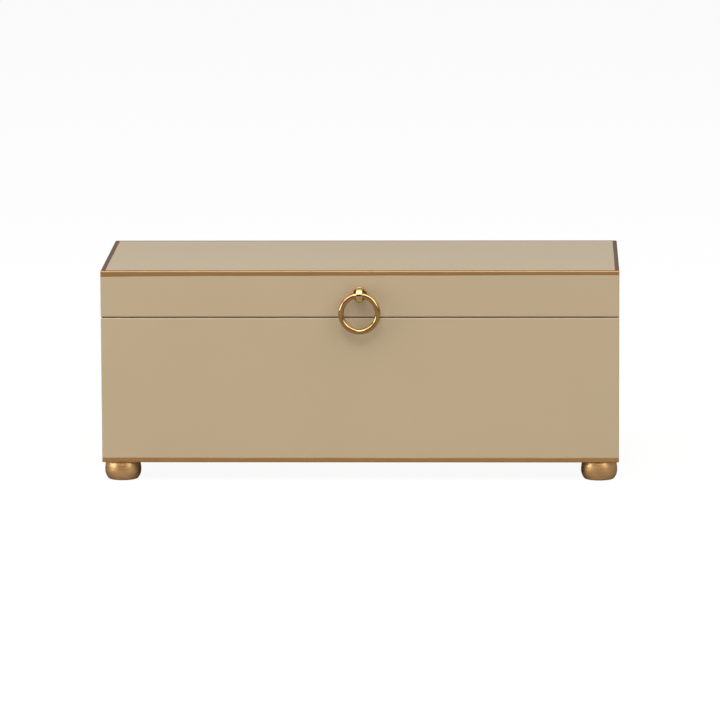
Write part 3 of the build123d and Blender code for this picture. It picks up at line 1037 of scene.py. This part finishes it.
class LACQUERED_BOX_OT_stage(bpy.types.Operator):
    """Set the box on a pale studio floor, with soft boxes, a white surround and the camera"""

    bl_idname = "lacquered_box.stage"
    bl_label = "Stage"

    def execute(self, context):
        scene = context.scene
        scene.view_settings.view_transform = "Standard"
        self.floor(scene.box_colours)
        self.surround(scene)
        self.soft_box("left", direction=(-67, 12), distance=1.7, face=(0.95, 0.6), brightness=4.1)
        self.soft_box("right", direction=(42, 20), distance=1.9, face=(0.85, 0.65), brightness=2.8)
        self.soft_box("key", direction=(-6, 42), distance=2.4, face=(0.9, 0.9), brightness=4.5)
        self.soft_box("above", direction=(0, 69), distance=2.4, face=(6.9, 2.1), brightness=2.12)
        self.camera(scene)
        return {"FINISHED"}

    def ray_kinds(self, tree):
        """An output that is 1 for the camera and glass, and one that is 1 for reflections."""
        rays = node(tree, "ShaderNodeLightPath").outputs
        plain = node(
            tree,
            "ShaderNodeMath",
            {0: rays["Is Camera Ray"], 1: rays["Is Transmission Ray"]},
            operation="MAXIMUM",
        )
        return plain.outputs[0], rays["Is Glossy Ray"]

    def floor(self, colours):
        """A wide pale floor, shown nearly white, that keeps a soft shadow."""
        builder = bmesh.new()
        bmesh.ops.create_circle(builder, cap_ends=True, segments=96, radius=8.0)
        floor = as_object("studio_floor", builder)
        made, tree = finish("studio_floor_painted_matt")
        plain, glossy = self.ray_kinds(tree)
        # What it bounces: as pale paint onto other surfaces, and darker in their reflections
        bounce = node(
            tree,
            "ShaderNodeMix",
            {SHARE: glossy, FIRST: toned(colours.floor, 0.68), SECOND: toned(colours.floor, 0.38)},
            data_type="RGBA",
        ).outputs[MIXED]
        paint = node(tree, "ShaderNodeBsdfDiffuse", {"Color": bounce})
        # What the camera sees of it: its own light makes it nearly white, and the rest holds shadows
        shadow = node(tree, "ShaderNodeBsdfDiffuse", {"Color": toned(colours.floor, 0.09)})
        glow = node(tree, "ShaderNodeEmission", {"Strength": 0.94})
        seen = node(tree, "ShaderNodeAddShader", {0: shadow.outputs[0], 1: glow.outputs[0]})
        both = node(
            tree, "ShaderNodeMixShader", {0: plain, 1: paint.outputs[0], 2: seen.outputs[0]}
        )
        node(tree, "ShaderNodeOutputMaterial", {"Surface": both.outputs[0]})
        floor.data.materials.append(made)

    def surround(self, scene):
        """A white tent that fades towards the floor, with a dim opening where the camera stands.

        The camera and glass see it plain white. Reflections show the opening, and the tent fading
        from 25 degrees above the horizon down. It fills the shadows with a little even light.
        """
        world = bpy.data.worlds.new("white_surround")
        world.use_nodes = True
        tree = world.node_tree
        tree.nodes.clear()
        plain, glossy = self.ray_kinds(tree)
        place = node(tree, "ShaderNodeTexCoord").outputs["Generated"]
        towards = node(tree, "ShaderNodeSeparateXYZ", {"Vector": place}).outputs
        backdrop = node(
            tree,
            "ShaderNodeMapRange",
            {"Value": towards["Z"], "From Min": 0.05, "From Max": 0.42, "To Min": 0.2, "To Max": 0.8},
        ).outputs["Result"]
        reflected = node(
            tree,
            "ShaderNodeMapRange",
            {
                "Value": towards["Y"],
                "From Min": -0.96,
                "From Max": -0.75,
                "To Min": 0.04,
                "To Max": backdrop,
            },
        ).outputs["Result"]
        lit = node(
            tree,
            "ShaderNodeMapRange",
            {"Value": glossy, "To Min": 0.096, "To Max": reflected},
        ).outputs["Result"]
        strength = node(
            tree, "ShaderNodeMapRange", {"Value": plain, "To Min": lit, "To Max": 1.0}
        ).outputs["Result"]
        light = node(
            tree, "ShaderNodeBackground", {"Color": (1.0, 1.0, 1.0, 1.0), "Strength": strength}
        )
        node(tree, "ShaderNodeOutputWorld", {"Surface": light.outputs[0]})
        scene.world = world

    def soft_box(self, name, direction, distance, face, brightness):
        """A soft box aimed at the box from a bearing and a height, both in degrees.

        Its face, of these two lengths, shows as brightness times white.
        """
        bearing, height = (radians(angle) for angle in direction)
        low, high = cad_box
        middle = (low + high) / 2
        towards = Vector((sin(bearing) * cos(height), -cos(bearing) * cos(height), sin(height)))
        lamp = bpy.data.lights.new(f"soft_box_{name}", "AREA")
        lamp.shape = "RECTANGLE"
        lamp.size, lamp.size_y = face
        lamp.energy = brightness * pi * face[0] * face[1]
        made = bpy.data.objects.new(lamp.name, lamp)
        made.location = middle + towards * distance
        made.rotation_euler = towards.to_track_quat("Z", "Y").to_euler()
        made.visible_camera = False
        bpy.context.scene.collection.objects.link(made)

    def camera(self, scene):
        """The camera where the photograph's perspective puts it: far off, above and a bit right."""
        lens = bpy.data.cameras.new("camera")
        lens.sensor_width = 36.0
        lens.lens = 302.96
        lens.clip_start, lens.clip_end = 0.1, 50.0
        made = bpy.data.objects.new("camera", lens)
        yaw, pitch, roll = radians(1.743), radians(9.022), radians(-0.268)
        turn = Matrix.Rotation(yaw, 4, "Z") @ Matrix.Rotation(pi / 2 - pitch, 4, "X")
        turn = turn @ Matrix.Rotation(roll, 4, "Z")
        stand = (0.1230, -4.1106, 0.7248)
        made.matrix_world = Matrix.Translation(stand) @ turn
        scene.collection.objects.link(made)
        scene.camera = made


class LACQUERED_BOX_PT_steps(bpy.types.Panel):
    """Sizes, colours and steps of the lacquered box"""

    bl_idname = "LACQUERED_BOX_PT_steps"
    bl_label = "Lacquered Box"
    bl_space_type = "VIEW_3D"
    bl_region_type = "UI"
    bl_category = "Lacquered Box"

    def draw(self, context):
        for operator in OPERATORS:
            self.layout.operator(operator.bl_idname)
        for group in (context.scene.box_colours, context.scene.box_sizes):
            column = self.layout.column()
            for name in group.__annotations__:
                column.prop(group, name)


OPERATORS = (
    LACQUERED_BOX_OT_base,
    LACQUERED_BOX_OT_lid,
    LACQUERED_BOX_OT_feet,
    LACQUERED_BOX_OT_felt,
    LACQUERED_BOX_OT_hinges,
    LACQUERED_BOX_OT_pull,
    LACQUERED_BOX_OT_stage,
)
CLASSES = (LacqueredBoxSizes, LacqueredBoxColours, *OPERATORS, LACQUERED_BOX_PT_steps)


def register():
    for each in CLASSES:
        bpy.utils.register_class(each)
    bpy.types.Scene.box_sizes = PointerProperty(type=LacqueredBoxSizes)
    bpy.types.Scene.box_colours = PointerProperty(type=LacqueredBoxColours)


def unregister():
    del bpy.types.Scene.box_colours
    del bpy.types.Scene.box_sizes
    for each in reversed(CLASSES):
        bpy.utils.unregister_class(each)


def main():
    register()
    bpy.ops.lacquered_box.base()
    bpy.ops.lacquered_box.lid()
    bpy.ops.lacquered_box.feet()
    bpy.ops.lacquered_box.felt()
    bpy.ops.lacquered_box.hinges()
    bpy.ops.lacquered_box.pull()
    bpy.ops.lacquered_box.stage()


if __name__ == "__main__":
    main()
